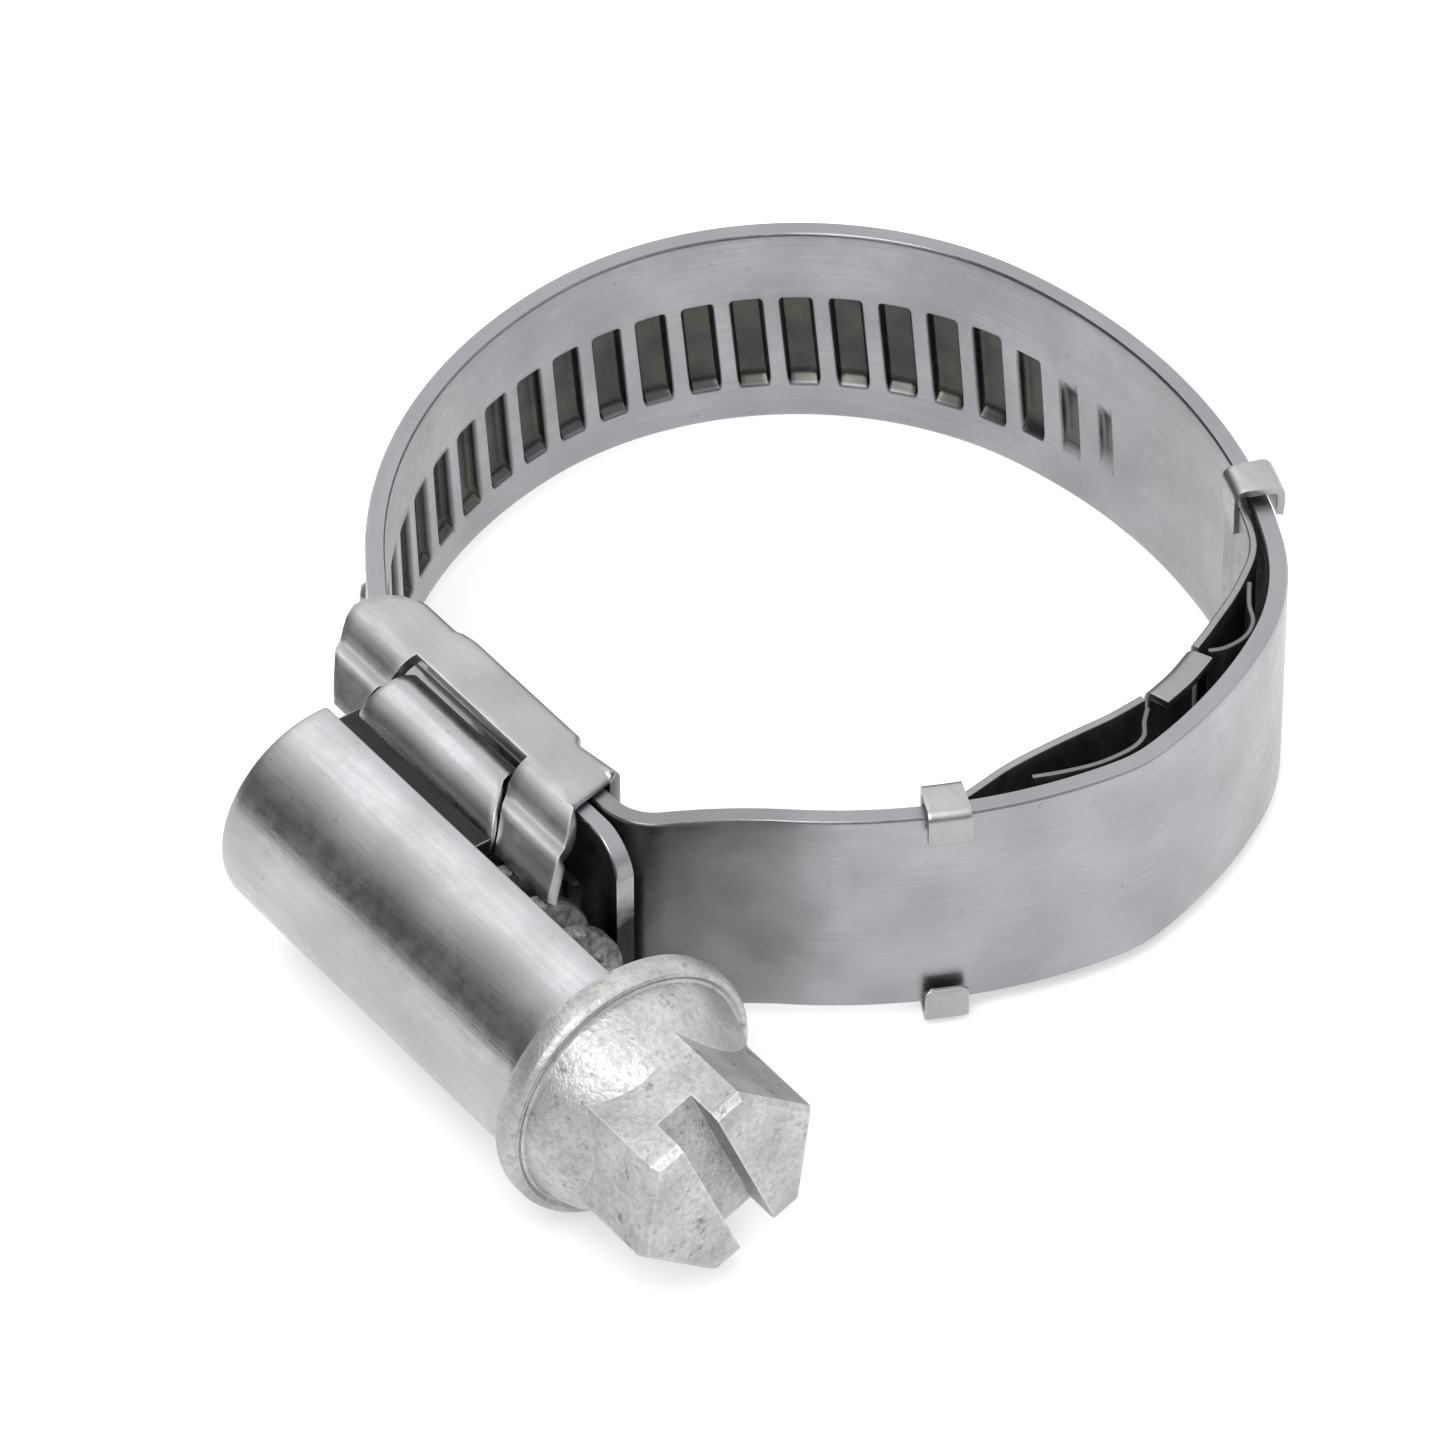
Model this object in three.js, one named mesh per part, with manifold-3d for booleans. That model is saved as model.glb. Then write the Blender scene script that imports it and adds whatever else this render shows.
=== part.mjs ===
// Worm-drive hose clamp, 9 mm band, 20-32 mm size, with a sprung liner under the band.
// Millimetres. +X runs along the screw towards its head, +Z along the hose, and -Y points
// outwards at the housing. The origin is the middle of the saddle's flat inner face,
// the face that bears on the hose.

import * as THREE from 'three';
import { mergeVertices } from 'three/addons/utils/BufferGeometryUtils.js';
import Module from 'manifold-3d';

const wasm = await Module();
wasm.setup();

// ---------- driving dimensions ----------

const BAND_WIDTH = 9;
const BAND_THICKNESS = 0.75;
const BAND_SIDE = BAND_WIDTH / 2;
const THREAD_PITCH = 2;
const SLIDE_GAP = 0.15;                  // between the free end and the fixed end under it

// The hose axis sits 14.2 mm inside the saddle, and the screw axis 20.7 mm outside the hose axis.
const SEAT = { x: 1.75, y: -14.2 };
const SCREW_Y = -20.7;

// Saddle: a bent plate under the band with a wall on each side.
const SADDLE_PLATE = 0.65;
const SEAT_REAR = -1.6;
const SEAT_FRONT = 5.1;
const WALL_TOP = 5.1;
const WALL_BASE = 4.6;
const WEB_TOP = 4.7;
const WEB_BASE = 4.0;

// Fixed end of the band, then its run round the hose as bends and radii.
const FIXED_OUTER_Y = SEAT.y - SADDLE_PLATE - 0.05 - BAND_THICKNESS;
const FREE_OUTER_Y = FIXED_OUTER_Y - SLIDE_GAP - BAND_THICKNESS;
const FIXED_REAR = -1.3;
const FIXED_FRONT = 8.3;
const BAND_RUN = [                       // [turn in degrees, radius of the outer face]
  [62, 2.4], [-12.8, 20.1], [33.4, 21.5], [18.6, 5.7], [18.6, 22.2],
  [32.4, 10.3], [24.6, 24.2], [19.9, 23.1], [80.5, 14.3], [50, 19.8],
];
const ENTRY_BEND_RADIUS = 2.5;
const FREE_END_X = 10.5;
const FREE_END_CORNER = 1.6;
const FLEX_GAP = 0.1;                    // clearance at the two places where the band flexes
const FLEX_X = -5.5;                     // line through both flex axes: inner face, then outer face

// Pressed thread: slanted ribs outside, hollows inside.
const RIB_HEIGHT = 0.3;
const RIB_WIDTH = 0.9;
const RIB_LENGTH = 4.8;
const HOLLOW_DEPTH = 0.35;
const RIB_DROP = 0.6;                    // the ribs sit below the middle of the band
const RIB_SLANT = THREE.MathUtils.degToRad(5.3);
const FIRST_RIB_ANGLE = 94;              // degrees round the hose axis
const LAST_RIB = 3;                      // from the free end

// Drum shell and screw.
const DRUM_RADIUS = 4.5;
const DRUM_PLATE = 0.65;
const DRUM_REAR = -2;
const DRUM_FRONT = 15.65;
const WORM_RADIUS = 3.5;
const WORM_CORE = 2.7;
const WORM_REAR = -1.2;
const WORM_FRONT = 13.4;
const NECK_RADIUS = 3.3;
const FLANGE = { rear: 15.9, front: 17.3, radius: 5.25 };
const CONE_FRONT = 19.6;
const HEX_FLATS = 7;
const HEX_FRONT = 22.9;
const HEX_CHAMFER = 0.25;
const HEX_TURN = 68;                     // degrees from -Y towards +Z to the slotted flat
const DRIVER_SLOT = { width: 1.6, depth: 1.5 };

// Sprung liner.
const LINER_PLATE = 0.3;
const LINER_SIDE = 4.4;
const WAVE_PLATE = 0.2;
const WAVE_SIDE = 4.35;
const LUG_PLATE = 0.4;
const LUG_GAP = 0.1;
const LUG_LAP = 1.3;                     // how far a lug reaches down the outer face of the band

// ---------- finishes ----------

function steel(colour, roughness) {
  return new THREE.MeshStandardMaterial({ color: colour, roughness, metalness: 1 });
}

const bandSteel = steel(0xa8a8ac, 0.38);
const housingSteel = steel(0xb0b2b2, 0.32);
const springSteel = steel(0xb4b4b4, 0.35);
const zincPlate = steel(0xbcbcb6, 0.5);

// ---------- solids ----------

function toSolid(geometry) {
  const bare = geometry.index ? geometry.toNonIndexed() : geometry.clone();
  bare.deleteAttribute('normal');
  bare.deleteAttribute('uv');
  const welded = mergeVertices(bare, 1e-4);
  return new wasm.Manifold(new wasm.Mesh({
    numProp: 3,
    vertProperties: new Float32Array(welded.attributes.position.array),
    triVerts: new Uint32Array(welded.index.array),
  }));
}

function toGeometry(solid) {
  const mesh = solid.getMesh();
  const geometry = new THREE.BufferGeometry();
  geometry.setAttribute('position', new THREE.BufferAttribute(mesh.vertProperties, 3));
  geometry.setIndex(new THREE.BufferAttribute(mesh.triVerts, 1));
  const faceted = geometry.toNonIndexed();
  faceted.computeVertexNormals();
  return faceted;
}

function joined(solids) {
  return solids.reduce((whole, solid) => whole.add(solid));
}

// An outline in the XY plane, raised from one height to another.
function slab(points, low, high) {
  const geometry = new THREE.ExtrudeGeometry(new THREE.Shape(points), {
    depth: high - low, bevelEnabled: false,
  });
  geometry.translate(0, 0, low);
  return toSolid(geometry);
}

function block(x0, x1, y0, y1, z0, z1) {
  const geometry = new THREE.BoxGeometry(x1 - x0, y1 - y0, z1 - z0);
  geometry.translate((x0 + x1) / 2, (y0 + y1) / 2, (z0 + z1) / 2);
  return toSolid(geometry);
}

function point(x, y) {
  return new THREE.Vector2(x, y);
}

function polar(degrees, radius) {
  const angle = THREE.MathUtils.degToRad(degrees);
  return point(radius * Math.cos(angle), radius * Math.sin(angle));
}

// ---------- the band's path ----------

// The outer face lies on the right of the heading, so inward is to the left.
function inward(station, distance) {
  return point(-Math.sin(station.heading), Math.cos(station.heading))
    .multiplyScalar(distance).add(station.at);
}

// Walks a list of bends and returns the outer face as stations, each with its place,
// its heading in radians and its distance along the strip.
function walk(start, heading, moves, step = 6) {
  const stations = [{ at: start.clone(), heading, along: 0 }];
  for (const move of moves) {
    const last = stations[stations.length - 1];
    if (move.length !== undefined) {
      const ahead = point(Math.cos(last.heading), Math.sin(last.heading)).multiplyScalar(move.length);
      stations.push({
        at: last.at.clone().add(ahead),
        heading: last.heading,
        along: last.along + move.length,
      });
      continue;
    }
    const side = Math.sign(move.turn);
    const sweep = THREE.MathUtils.degToRad(Math.abs(move.turn));
    const centre = inward(last, side * move.radius);
    const steps = Math.max(2, Math.ceil(Math.abs(move.turn) / step));
    for (let i = 1; i <= steps; i += 1) {
      const way = last.heading + side * sweep * i / steps;
      const out = point(Math.sin(way), -Math.cos(way)).multiplyScalar(side * move.radius);
      stations.push({
        at: centre.clone().add(out),
        heading: way,
        along: last.along + move.radius * sweep * i / steps,
      });
    }
  }
  return stations;
}

// The run ends in a straight and a bend that bring the free end level in the saddle.
function bandStations() {
  const start = point(FIXED_REAR, FIXED_OUTER_Y);
  const moves = [{ length: FIXED_FRONT - FIXED_REAR }];
  for (const [turn, radius] of BAND_RUN) {
    moves.push({ turn, radius });
  }
  const arrival = walk(start, 0, moves).pop();
  const left = 2 * Math.PI - arrival.heading;
  const drop = arrival.at.y - FREE_OUTER_Y - ENTRY_BEND_RADIUS * (1 - Math.cos(left));
  moves.push({ length: drop / Math.sin(left) });
  moves.push({ turn: THREE.MathUtils.radToDeg(left), radius: ENTRY_BEND_RADIUS });
  const level = walk(start, 0, moves).pop();
  moves.push({ length: FREE_END_X - level.at.x });
  return walk(start, 0, moves);
}

const band = bandStations();
const bandLength = band[band.length - 1].along;

function stationAt(along) {
  const next = band.findIndex((station) => station.along >= along);
  if (next <= 0) {
    return band[0];
  }
  const a = band[next - 1];
  const b = band[next];
  const share = (along - a.along) / (b.along - a.along);
  return {
    at: a.at.clone().lerp(b.at, share),
    heading: THREE.MathUtils.lerp(a.heading, b.heading, share),
    along,
  };
}

function stretch(from, to) {
  const inside = band.filter((station) => station.along > from + 1e-3 && station.along < to - 1e-3);
  return [stationAt(from), ...inside, stationAt(to)];
}

// A strip that follows the band between two distances, between two depths under its outer face.
function strip(from, to, shallow, deep, low, high) {
  const stations = stretch(from, to);
  const outer = stations.map((station) => inward(station, shallow));
  const inner = stations.map((station) => inward(station, deep)).reverse();
  return slab([...outer, ...inner], low, high);
}

// Distance along the band where a test on the station first holds.
function alongWhere(from, test) {
  let along = from;
  while (along < bandLength && !test(stationAt(along))) {
    along += 0.01;
  }
  return along;
}

const angleOf = (station) => THREE.MathUtils.radToDeg(Math.atan2(station.at.y, station.at.x));
const alongAtAngle = (degrees) => alongWhere(10.5, (station) => angleOf(station) >= degrees);
const farFlex = alongWhere(40, (station) => inward(station, BAND_THICKNESS).x <= FLEX_X);
const entryFlex = alongWhere(farFlex + 30, (station) => station.at.x >= FLEX_X);

// ---------- band ----------

// One slanted bar of the pressed thread, centred on a depth under the outer face.
function threadBar(along, width, shallow, deep) {
  const station = stationAt(along);
  const geometry = new THREE.BoxGeometry(width, deep - shallow, RIB_LENGTH);
  geometry.rotateY(RIB_SLANT);
  geometry.rotateZ(station.heading);
  const middle = inward(station, (shallow + deep) / 2);
  geometry.translate(middle.x, middle.y, -RIB_DROP);
  return toSolid(geometry);
}

const firstRib = alongAtAngle(FIRST_RIB_ANGLE);
const ribPlaces = [];
for (let along = bandLength - LAST_RIB; along > firstRib; along -= THREAD_PITCH) {
  ribPlaces.push(along);
}

function withThread(solid, from, to) {
  const margin = RIB_WIDTH / 2 + Math.sin(RIB_SLANT) * RIB_LENGTH / 2 + 0.1;
  const inside = ribPlaces.filter((along) => along - margin > from && along + margin < to);
  let threaded = solid;
  for (const along of inside) {
    threaded = threaded.add(threadBar(along, RIB_WIDTH, -RIB_HEIGHT, 0.1));
    threaded = threaded.subtract(
      threadBar(along, RIB_WIDTH + 0.2, BAND_THICKNESS - HOLLOW_DEPTH, BAND_THICKNESS + 0.2));
  }
  return threaded;
}

function bandPiece(from, to) {
  return strip(from, to, 0, BAND_THICKNESS, -BAND_SIDE, BAND_SIDE);
}

function bandFixed() {
  const to = farFlex - FLEX_GAP / 2;
  return withThread(bandPiece(0, to), 0, to);
}

function bandArc() {
  const from = farFlex + FLEX_GAP / 2;
  const to = entryFlex - FLEX_GAP / 2;
  return withThread(bandPiece(from, to), from, to);
}

// The free end has its two corners rounded.
function bandTail() {
  const from = entryFlex + FLEX_GAP / 2;
  const whole = withThread(bandPiece(from, bandLength), from, bandLength + 1);
  const nose = new THREE.Shape();
  const edge = FREE_END_X - FREE_END_CORNER;
  const round = BAND_SIDE - FREE_END_CORNER;
  nose.moveTo(-20, -BAND_SIDE);
  nose.lineTo(edge, -BAND_SIDE);
  nose.absarc(edge, -round, FREE_END_CORNER, -Math.PI / 2, 0, false);
  nose.absarc(edge, round, FREE_END_CORNER, 0, Math.PI / 2, false);
  nose.lineTo(-20, BAND_SIDE);
  const cutter = new THREE.ExtrudeGeometry(nose, {
    depth: 12, bevelEnabled: false, curveSegments: 5,
  });
  cutter.rotateX(Math.PI / 2);
  cutter.translate(0, FREE_OUTER_Y + 10, 0);
  return whole.intersect(toSolid(cutter));
}

// ---------- housing ----------

// The saddle: floor plate, two side walls, and a web on each side that rises to the drum.
// A groove parts the middle of each web from its wall.
function saddle() {
  const floorY = SEAT.y - SADDLE_PLATE;
  const floor = block(SEAT_REAR, 7.5, floorY, SEAT.y, -WALL_TOP, WALL_TOP);
  const rearStep = block(-3.2, SEAT_REAR + 0.2, floorY - 0.2, SEAT.y - 0.25, -WALL_TOP, WALL_TOP);
  const step = block(SEAT_FRONT, 6.6, SEAT.y - 0.25, SEAT.y + 1, -6, 6);
  const wall = [
    point(-4, SEAT.y), point(7.5, SEAT.y), point(8.2, -17.1), point(-5.2, -17.1), point(-5.6, -16.5),
  ];
  const web = [
    point(-5.5, -16.8), point(8.1, -16.8), point(9.2, -17.9), point(10.8, -20.2),
    point(-2.1, -20.2), point(-4.3, -18.3),
  ];
  const groove = block(-1.8, SEAT_FRONT, -17.4, -16.7, -6, 6);
  const sides = [];
  for (const side of [1, -1]) {
    const [low, high] = side > 0 ? [WALL_BASE, WALL_TOP] : [-WALL_TOP, -WALL_BASE];
    const [webLow, webHigh] = side > 0 ? [WEB_BASE, WEB_TOP] : [-WEB_TOP, -WEB_BASE];
    sides.push(slab(wall, low, high));
    sides.push(slab(web, webLow, webHigh));
  }
  return joined([floor, rearStep, ...sides]).subtract(groove).subtract(step);
}

// The drum shell: an open half tube round the worm, cut square at both ends.
function drumShell() {
  const outline = new THREE.Shape();
  const drop = Math.asin(0.3 / DRUM_RADIUS);
  outline.absarc(0, 0, DRUM_RADIUS, -Math.PI / 2 - drop, Math.PI / 2 + drop, false);
  outline.absarc(0, 0, DRUM_RADIUS - DRUM_PLATE, Math.PI / 2 + drop, -Math.PI / 2 - drop, true);
  const geometry = new THREE.ExtrudeGeometry(outline, {
    depth: DRUM_FRONT - DRUM_REAR, bevelEnabled: false, curveSegments: 28,
  });
  geometry.rotateY(Math.PI / 2);
  geometry.rotateX(-Math.PI / 2);
  geometry.translate(DRUM_REAR, SCREW_Y, 0);
  return toSolid(geometry);
}

// ---------- screw ----------

// A right-hand helix whose frames keep one side facing straight out from the axis.
class Helix extends THREE.Curve {
  constructor(radius, from, to, pitch) {
    super();
    this.radius = radius;
    this.from = from;
    this.to = to;
    this.turns = (to - from) / pitch;
  }

  getPoint(t, target = new THREE.Vector3()) {
    const angle = 2 * Math.PI * this.turns * t;
    const x = THREE.MathUtils.lerp(this.from, this.to, t);
    return target.set(x, this.radius * Math.cos(angle), this.radius * Math.sin(angle));
  }

  computeFrenetFrames(segments) {
    const frames = { tangents: [], normals: [], binormals: [] };
    for (let i = 0; i <= segments; i += 1) {
      const place = this.getPoint(i / segments);
      const normal = new THREE.Vector3(0, place.y, place.z).normalize();
      const tangent = this.getTangent(i / segments);
      frames.tangents.push(tangent);
      frames.normals.push(normal);
      frames.binormals.push(new THREE.Vector3().crossVectors(tangent, normal));
    }
    return frames;
  }
}

// A body turned round X from [x, radius] pairs.
function turned(profile, segments) {
  const points = profile.map(([x, radius]) => point(radius, x));
  const geometry = new THREE.LatheGeometry(points, segments);
  geometry.rotateZ(-Math.PI / 2);
  return toSolid(geometry);
}

function wormThread() {
  const height = WORM_RADIUS - WORM_CORE;
  const root = -0.25;
  const section = new THREE.Shape([
    point(root, -0.62), point(height, -0.28), point(height, 0.28), point(root, 0.62),
  ]);
  const path = new Helix(WORM_CORE, WORM_REAR + 0.7, WORM_FRONT - 0.7, THREAD_PITCH);
  const steps = Math.round(path.turns * 20);
  return toSolid(new THREE.ExtrudeGeometry(section, {
    steps, bevelEnabled: false, extrudePath: path,
  }));
}

function hexHead() {
  const corner = HEX_FLATS / Math.sqrt(3);
  const hex = new THREE.CylinderGeometry(corner, corner, HEX_FRONT - FLANGE.front, 6);
  hex.rotateZ(-Math.PI / 2);
  hex.rotateX(THREE.MathUtils.degToRad(-HEX_TURN));
  hex.translate((HEX_FRONT + FLANGE.front) / 2, 0, 0);
  const chamfer = turned([
    [FLANGE.front - 1, 0], [FLANGE.front - 1, 6], [HEX_FRONT - HEX_CHAMFER, corner],
    [HEX_FRONT, corner - HEX_CHAMFER * 1.6], [HEX_FRONT, 0],
  ], 36);
  const slot = new THREE.BoxGeometry(DRIVER_SLOT.depth * 2, HEX_FLATS * 2, DRIVER_SLOT.width);
  slot.rotateX(THREE.MathUtils.degToRad(-HEX_TURN));
  slot.translate(HEX_FRONT, 0, 0);
  return toSolid(hex).intersect(chamfer).subtract(toSolid(slot));
}

function wormScrew() {
  const rim = 0.25;
  const body = turned([
    [WORM_REAR, 0], [WORM_REAR, WORM_CORE - 0.5], [WORM_REAR + 0.5, WORM_CORE],
    [WORM_FRONT, WORM_CORE], [WORM_FRONT, NECK_RADIUS], [FLANGE.rear, NECK_RADIUS],
    [FLANGE.rear, FLANGE.radius - rim], [FLANGE.rear + rim, FLANGE.radius],
    [FLANGE.front - rim, FLANGE.radius], [FLANGE.front, FLANGE.radius - rim],
    [CONE_FRONT, HEX_FLATS / 2], [CONE_FRONT, 0],
  ], 40);
  return joined([body, wormThread(), hexHead()]).translate(0, SCREW_Y, 0);
}

// ---------- sprung liner ----------

// A thin sheet that stands on a smooth curve through polar points, each [degrees, radius].
function curvedSheet(knots, plate, low, high, divisions) {
  const curve = new THREE.SplineCurve(knots.map(([degrees, radius]) => polar(degrees, radius)));
  const stations = [];
  for (let i = 0; i <= divisions; i += 1) {
    const tangent = curve.getTangent(i / divisions);
    stations.push({ at: curve.getPoint(i / divisions), heading: Math.atan2(tangent.y, tangent.x) });
  }
  const outer = stations.map((station) => inward(station, -plate / 2));
  const inner = stations.map((station) => inward(station, plate / 2)).reverse();
  return slab([...outer, ...inner], low, high);
}

// Two lugs that fold round the band's edges, with the foot plate that joins them inside.
function lugPair(from, to) {
  const inside = BAND_THICKNESS + LUG_GAP;
  const footDeep = inside + LUG_PLATE;
  const edge = BAND_SIDE + LUG_GAP;
  const outside = -LUG_GAP - LUG_PLATE;
  const tip = edge + LUG_PLATE;
  const pieces = [strip(from, to, inside, footDeep, -tip, tip)];
  for (const side of [1, -1]) {
    const span = (near, far) => (side > 0 ? [near, far] : [-far, -near]);
    pieces.push(strip(from, to, outside, footDeep, ...span(edge, tip)));
    pieces.push(strip(from, to, outside, -LUG_GAP, ...span(BAND_SIDE - LUG_LAP, tip)));
  }
  return joined(pieces);
}

function footPoint(along) {
  const foot = inward(stationAt(along), BAND_THICKNESS + LUG_GAP + LUG_PLATE / 2);
  return [THREE.MathUtils.radToDeg(Math.atan2(foot.y, foot.x)), foot.length()];
}

const frontLug = { from: alongAtAngle(-23), to: alongAtAngle(-17.8) };
const rearLug = { from: alongAtAngle(56.5), to: alongAtAngle(62) };

function frontLiner() {
  const start = footPoint((frontLug.from + frontLug.to) / 2);
  const lead = footPoint(frontLug.to);
  const knots = [start, lead, [-10, 15.35], [-4, 15.1], [2, 15.1], [8, 15.3], [13.6, 15.5]];
  const plate = curvedSheet(knots, LINER_PLATE, -LINER_SIDE, LINER_SIDE, 28);
  return plate.add(lugPair(frontLug.from, frontLug.to));
}

function rearLiner() {
  const end = footPoint((rearLug.from + rearLug.to) / 2);
  const lead = footPoint(rearLug.from);
  const knots = [[26.2, 15.6], [32, 15.7], [40, 16], [48, 16.25], lead, end];
  const plate = curvedSheet(knots, LINER_PLATE, -LINER_SIDE, LINER_SIDE, 26);
  return plate.add(lugPair(rearLug.from, rearLug.to));
}

// The bridge is a channel: a plate with its long edges folded outwards.
function bridge() {
  const plate = curvedSheet([[14.6, 15.5], [20, 15.55], [25.2, 15.55]], 0.35, -4.5, 4.5, 8);
  const folds = [[4.15, 4.5], [-4.5, -4.15]].map(([low, high]) => (
    curvedSheet([[14.6, 15.9], [20, 15.95], [25.2, 15.95]], 0.9, low, high, 8)));
  return joined([plate, ...folds]);
}

function frontWave() {
  const knots = [
    [-7.5, 16.15], [-3.5, 16.5], [1, 16.85], [5.5, 17], [8.3, 16.85], [10.3, 16.35], [12.6, 15.95],
  ];
  return curvedSheet(knots, WAVE_PLATE, -WAVE_SIDE, WAVE_SIDE, 32);
}

function rearWave() {
  const knots = [[26.6, 16.1], [28.2, 16.6], [31, 17.0], [34, 17.0], [37, 16.6], [41, 16.35]];
  return curvedSheet(knots, WAVE_PLATE, -WAVE_SIDE, WAVE_SIDE, 28);
}

// ---------- assembly ----------

const clamp = new THREE.Group();
clamp.position.set(-SEAT.x, -SEAT.y, 0);

function place(name, solid, material) {
  const mesh = new THREE.Mesh(toGeometry(solid), material);
  mesh.name = name;
  clamp.add(mesh);
}

place('band_fixed_side', bandFixed(), bandSteel);
place('band_far_arc', bandArc(), bandSteel);
place('band_free_end', bandTail(), bandSteel);
place('saddle', saddle(), housingSteel);
place('drum_shell', drumShell(), housingSteel);
place('worm_screw', wormScrew(), zincPlate);
place('front_liner', frontLiner(), springSteel);
place('rear_liner', rearLiner(), springSteel);
place('liner_bridge', bridge(), springSteel);
place('front_wave_spring', frontWave(), springSteel);
place('rear_wave_spring', rearWave(), springSteel);

export default clamp;
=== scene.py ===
# Looks of a worm-drive hose clamp with a sprung liner. Shapes are worked out in millimetres from the
# hose axis (+X along the screw to its head, -Y outwards at the housing, +Z along the hose), and then
# moved into the row frame, whose origin is on the saddle's inner face.
import math

import bmesh
import bpy
from mathutils import Matrix, Vector


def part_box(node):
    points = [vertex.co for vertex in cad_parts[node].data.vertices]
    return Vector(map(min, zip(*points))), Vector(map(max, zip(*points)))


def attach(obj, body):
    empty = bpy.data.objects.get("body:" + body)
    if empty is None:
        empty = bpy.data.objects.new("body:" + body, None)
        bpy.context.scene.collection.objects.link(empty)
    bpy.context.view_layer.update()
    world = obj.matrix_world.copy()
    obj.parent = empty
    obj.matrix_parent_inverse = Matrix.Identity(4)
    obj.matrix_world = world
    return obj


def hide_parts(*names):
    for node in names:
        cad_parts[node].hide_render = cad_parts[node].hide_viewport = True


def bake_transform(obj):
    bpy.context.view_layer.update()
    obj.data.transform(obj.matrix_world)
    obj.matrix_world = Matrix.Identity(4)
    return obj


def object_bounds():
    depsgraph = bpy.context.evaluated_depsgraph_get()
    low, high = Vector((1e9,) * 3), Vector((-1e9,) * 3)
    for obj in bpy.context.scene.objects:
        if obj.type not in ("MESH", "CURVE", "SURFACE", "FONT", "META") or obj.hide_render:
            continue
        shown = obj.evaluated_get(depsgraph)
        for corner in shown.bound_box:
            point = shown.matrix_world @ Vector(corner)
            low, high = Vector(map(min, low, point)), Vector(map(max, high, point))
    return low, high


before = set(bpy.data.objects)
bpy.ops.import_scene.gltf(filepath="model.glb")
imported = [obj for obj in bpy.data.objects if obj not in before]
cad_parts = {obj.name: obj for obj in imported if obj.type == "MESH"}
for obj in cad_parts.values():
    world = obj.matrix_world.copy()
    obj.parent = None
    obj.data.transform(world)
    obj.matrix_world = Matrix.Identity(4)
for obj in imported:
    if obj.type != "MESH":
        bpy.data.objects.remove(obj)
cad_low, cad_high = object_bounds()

MM = 0.001
SADDLE_FACE = Vector((1.75, -14.2, 0))          # the row frame's origin, from the hose axis
ROW_FRAME = Matrix.Scale(MM, 4) @ Matrix.Translation(-SADDLE_FACE)


def cad_box(node):
    """Lowest and highest corner of a CAD node, in millimetres from the hose axis."""
    low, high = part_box(node)
    return low / MM + SADDLE_FACE, high / MM + SADDLE_FACE


# ---------- driving dimensions ----------

BAND_SIDE = cad_box("band_far_arc")[1].z         # half the band's width
BAND_THICKNESS = 0.75
BAND_EDGE = 0.11                                 # rounding of the band's rolled edges
FREE_END_X = cad_box("band_free_end")[1].x
FREE_END_CORNER = 1.6
FIXED_REAR_X = -1.3
FIXED_OUTER_Y = -15.65
FIXED_LENGTH = 9.6
FREE_OUTER_Y = -16.55
BAND_RUN = [                                     # [turn in degrees, radius of the outer face]
    [62, 2.4], [-12.8, 20.1], [33.4, 21.5], [18.6, 5.7], [18.6, 22.2],
    [32.4, 10.3], [24.6, 24.2], [19.9, 23.1], [80.5, 14.3], [50, 19.8],
]
ENTRY_BEND = 2.5
FLEX_X = -5.5                                    # both flex axes lie on this line
FLEX_REACH = 1.6                                 # the length on each side of a flex; it sets where the band's two meshes meet

PITCH = 2.0
SLANT = math.tan(math.radians(5.3))
THREAD_LOW, THREAD_HIGH = -3.05, 1.35            # the pressed thread across the band
HOLLOW_DEPTH = 0.45
RIB_HEIGHT = 0.3
FIRST_RIB_ANGLE = 94
LAST_RIB = 3.0                                   # from the free end

DRUM_LOW, DRUM_HIGH = cad_box("drum_shell")
DRUM_RADIUS = DRUM_HIGH.z
SCREW_Y = DRUM_LOW.y + DRUM_RADIUS
DRUM_PLATE = 0.65

SCREW_FRONT = cad_box("worm_screw")[1].x
FLANGE_RADIUS = cad_box("worm_screw")[1].z
HEX_FLATS = 7
HEX_TURN = 68                                    # degrees from -Y towards +Z to the slotted flat
HEX_REAR = 17.4                                  # hidden inside the cone
HEX_CHAMFER = (0.28, 0.24)                       # along the axis, and in from a corner
DRIVER_SLOT = (1.6, 1.5)                         # width and depth
WORM_RADIUS = 3.5
WORM_CORE = 2.7
WORM_RANGE = (-0.5, 12.7)                        # the middle of the thread at its two ends
CAP_RADIUS = 0.3                                 # of the small flat cap at each end of the turned screw

CAMERA_AIM = Vector((-0.00142, 0.00984, -0.00319))
CAMERA_DISTANCE = 0.42
CAMERA_AZIMUTH, CAMERA_ELEVATION = 53.6, 41.85
CAMERA_LENS = 282.3
SOFTBOX_DISTANCE = 0.6
FLOOR_HALF = 1.5
FLOOR_GAP = 0.00002                              # the floor lies this far under the clamp


# ---------- small mathematics ----------

def smooth(x):
    x = min(max(x, 0.0), 1.0)
    return x * x * (3 - 2 * x)


def mix(a, b, share):
    return a + (b - a) * share


def polar(degrees, radius):
    angle = math.radians(degrees)
    return Vector((radius * math.cos(angle), radius * math.sin(angle)))


def along_line(points, x):
    """The value at x on a line through (x, value) points, held level past its ends."""
    if x <= points[0][0]:
        return points[0][1]
    for (x0, v0), (x1, v1) in zip(points, points[1:]):
        if x <= x1:
            return mix(v0, v1, (x - x0) / (x1 - x0))
    return points[-1][1]


def spread(low, high, count):
    return [mix(low, high, i / count) for i in range(count + 1)]


# ---------- meshes ----------

FINE_BEVEL = 0.06


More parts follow.
